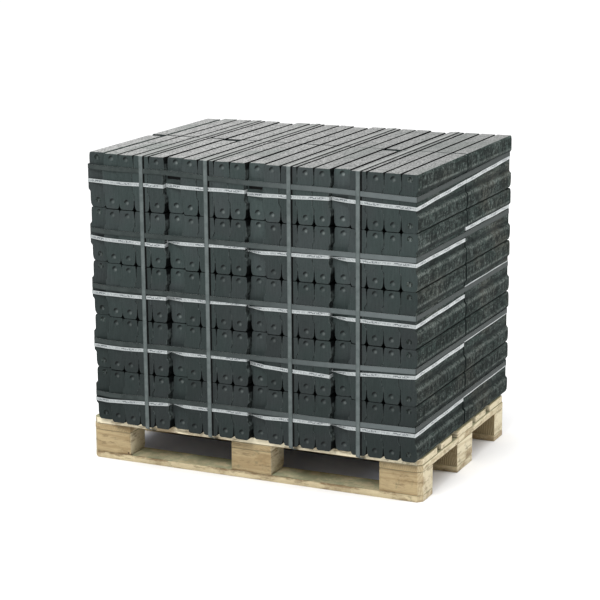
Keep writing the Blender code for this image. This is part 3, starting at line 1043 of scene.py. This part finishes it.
def wood_stains_and_shade(look, base, place):
    """Brown stains, mould, moss-grey tops, a worn edge, and painted shade on the middle bottom board
    under the deck.
    """
    stains = look.noise(14.0, 6.0, 0.7, (0.5, 0.5, 1), place)
    base = look.tint(base, (0.240, 0.165, 0.080), stains, 0.50, 0.66, 0.75)
    streaks = look.noise(42.0, 5.0, 0.7, (0.35, 0.35, 1.6), place)
    base = look.tint(base, (0.150, 0.105, 0.055), streaks, 0.54, 0.64, 0.55)
    mould = look.noise(23.0, 6.0, 0.72, place=place)
    base = look.tint(base, (0.150, 0.145, 0.085), mould, 0.56, 0.70, 0.65)
    weather = look.times(look.ramp(look.up, 0.4, 0.9), look.ramp(stains, 0.25, 0.55, 0.35, 0.95))
    moss = look.tint((0.480, 0.430, 0.280), (0.290, 0.310, 0.200), mould, 0.40, 0.58)
    grey = look.tint(moss, (0.300, 0.295, 0.185), look.z, 0.03, 0.12)
    base = look.blend(weather, base, grey)
    dirty = look.times(look.ramp(look.z, 0.006, 0.028, 0.3, 0.0), look.ramp(stains, 0.35, 0.6))
    base = look.blend(dirty, base, (0.175, 0.115, 0.060))
    lowest = look.ramp(look.z, 0.024, 0.030, 1.0, 0.0)
    front_edge = look.plus(look.y, look.times(streaks, 0.030))
    worn = look.times(look.window(front_edge, -0.395, -0.379, 0.003), lowest,
                      look.ramp(look.z, 0.013, 0.018), look.ramp(stains, 0.44, 0.56, 0.05, 0.75))
    base = look.blend(worn, base, (0.155, 0.098, 0.045))
    # Painted shade: the lowest boards inside the pallet are near black under the deck.
    coal = look.times(look.window(look.y, -0.30, 0.30, 0.01), lowest,
                      look.window(look.x, -0.48, 0.36, 0.05), 0.85)
    return look.blend(coal, base, (0.022, 0.024, 0.028))


def wood_finish(name, lengthwise):
    """Sawn pine: growth rings, fibres, knots, stains and greyed tops, with painted light on the deck
    boards' fronts and painted shade on the inner end grain.
    """
    look = Look(name)
    shift = look.attribute("log_place", "Vector")
    place = look.node("VectorMath", {0: look.place, 1: shift}, operation="ADD").outputs[0]
    stretch = (0.08, 1, 1) if lengthwise else (1, 0.08, 1)
    rings = log_rings(look, lengthwise, shift, place, stretch)
    fibres = look.noise(420.0, 4.0, 0.6, stretch, place)
    base = look.tint((0.425, 0.332, 0.185), (0.295, 0.212, 0.108), rings, -0.2, 1.0, 0.6)
    base = look.tint(base, (0.240, 0.180, 0.105), fibres, 0.4, 0.75, 0.5)

    knot_stretch = (0.45, 1, 1) if lengthwise else (1, 0.45, 1)
    knots = look.node("TexVoronoi", {"Vector": look.stretched(knot_stretch, place), "Scale": 5.0})
    spot = look.ramp(knots.outputs["Distance"], 0.03, 0.075, 1.0, 0.0)
    base = look.blend(look.times(spot, 0.85), base, (0.085, 0.048, 0.026))

    cream = look.tint((0.700, 0.640, 0.470), (0.440, 0.360, 0.220), rings, -0.3, 0.9, 0.45)
    base = look.tint(base, cream, look.maths("ABSOLUTE", look.side_x), 0.6, 0.9, 0.75)
    if not lengthwise:
        # Partly the inner blocks' darker end grain, partly painted shade under the deck; the front row
        # stays light.
        sawn_end_shade = look.times(look.front(0.65), look.ramp(look.y, -0.36, -0.30))
        grain = look.tint((0.300, 0.255, 0.150), (0.120, 0.092, 0.050), rings, -0.4, 0.6)
        base = look.blend(sawn_end_shade, base, grain)
    # Painted light: the deck boards' front faces under the load's overhang are pale cream.
    lit_deck_front = look.times(look.front(0.85), look.ramp(look.z, 0.119, 0.123))
    base = look.blend(lit_deck_front, base, (0.830, 0.760, 0.570))
    board_front = look.times(look.front(0.70), look.ramp(look.z, 0.020, 0.024, 1.0, 0.0))
    base = look.blend(board_front, base, (0.700, 0.610, 0.400))
    base = wood_stains_and_shade(look, base, place)
    relief = look.plus(look.times(fibres, 0.8), look.times(rings, -0.12))
    return look.finish(base, fibres, (0.62, 0.85), 0.20, relief, 0.5, 0.0012)


def nail_finish():
    look = Look("rusty_nail")
    rust = look.noise(400.0)
    base = look.tint((0.060, 0.048, 0.042), (0.110, 0.052, 0.028), rust, 0.4, 0.6)
    look.shader.inputs["Metallic"].default_value = 0.6
    return look.finish(base, rust, (0.5, 0.8), 0.5, rust, 0.4, 0.0005)


def floor_finish():
    """Pale floor, which is a little darker in the shadow between the pallet's blocks."""
    look = Look("pale_floor")
    cloud = look.noise(0.7, 2.0)
    pale = look.tint((0.90, 0.90, 0.90), (0.92, 0.92, 0.92), cloud, 0.3, 0.7)
    shadow = look.times(look.window(look.x, -0.55, 0.46, 0.04), look.window(look.y, -0.34, 0.34, 0.04))
    base = look.blend(shadow, pale, (0.600, 0.670, 0.860))
    look.fill(look.shader, {"Base Color": base, "Roughness": 0.8, "Specular IOR Level": 0.1})
    return look.made


# Studio

# The photograph's camera, solved on the pallet's corners: angles in degrees, lengths in metres, and
# the lens in millimetres on a sensor 36 wide
CAMERA_TURN = 24.90
CAMERA_RISE = 13.46
CAMERA_ROLL = -0.43
CAMERA_DISTANCE = 6.505
CAMERA_TARGET = Vector((-0.0042, 0.0, 0.5179))
CAMERA_LENS = 114.12
SENSOR_WIDTH = 36
FARTHEST = 200

WORLD_STRENGTH = 0.32
SKY_POWER = 2.9
# How wide the sky's light is, and how it leans from straight down, in degrees
SKY_WIDTH = 70
SKY_LEAN = (6, -5)
FLOOR_RADIUS = 60


def camera():
    turn, rise, roll = radians(CAMERA_TURN), radians(CAMERA_RISE), radians(CAMERA_ROLL)
    back = Vector((sin(turn) * cos(rise), -cos(turn) * cos(rise), sin(rise)))
    right = (-back).cross(Vector((0, 0, 1))).normalized()
    up = right.cross(-back)
    across = right * cos(roll) + up * sin(roll)
    upright = up * cos(roll) - right * sin(roll)
    data = bpy.data.cameras.new("camera")
    data.sensor_width = SENSOR_WIDTH
    data.lens = CAMERA_LENS
    data.clip_end = FARTHEST
    made = placed("camera", data)
    made.matrix_world = (Matrix.Translation(CAMERA_TARGET + back * CAMERA_DISTANCE)
                         @ Matrix((across, upright, back)).transposed().to_4x4())
    bpy.context.scene.camera = made


def floor():
    shape = bmesh.new()
    bmesh.ops.create_circle(shape, cap_ends=True, segments=64, radius=FLOOR_RADIUS)
    mesh = mesh_of("floor", shape)
    mesh.materials.append(floor_finish())
    placed("floor", mesh)


def softbox(name, place, target, size, power):
    data = bpy.data.lights.new(name, "AREA")
    data.shape = "RECTANGLE"
    data.size, data.size_y = size
    data.energy = power
    made = placed(name, data)
    made.location = place
    made.rotation_euler = (Vector(target) - Vector(place)).to_track_quat("-Z", "Y").to_euler()


def skylight():
    """Even light from straight above, as wide as a studio's ceiling of diffusers."""
    data = bpy.data.lights.new("skylight", "SUN")
    data.energy = SKY_POWER
    data.angle = radians(SKY_WIDTH)
    placed("skylight", data).rotation_euler = (radians(SKY_LEAN[0]), radians(SKY_LEAN[1]), 0)


def studio():
    world = bpy.data.worlds.new("studio")
    world.use_nodes = True
    backdrop = world.node_tree.nodes["Background"]
    backdrop.inputs["Color"].default_value = (1, 1, 1, 1)
    backdrop.inputs["Strength"].default_value = WORLD_STRENGTH
    bpy.context.scene.world = world
    bpy.context.scene.view_settings.view_transform = "Standard"
    softbox("key_box", (0.1, -3.9, 4.2), (0, 0, 0.5), (1.6, 1.6), 150)
    softbox("right_box", (4.6, 0.8, 2.2), (0.3, 0, 0.6), (1.6, 1.6), 88)
    skylight()
    floor()
    camera()


studio()
briquette_layers((briquette_finish(), hidden_shade_finish(), side_finish()))
layer_straps(strap_finish("layer_strap_plastic", (0.020, 0.027, 0.026), (0.040, 0.050, 0.048),
                          0.45, 0.34, 0.0))
bundle_tapes(tape_finish())
upright_straps(strap_finish("upright_strap_plastic", (0.064, 0.079, 0.078), (0.114, 0.134, 0.132),
                            0.40, 0.0, 0.5))
pallet_timbers(wood_finish("pine_along", True), wood_finish("pine_across", False))
nail_heads(nail_finish())
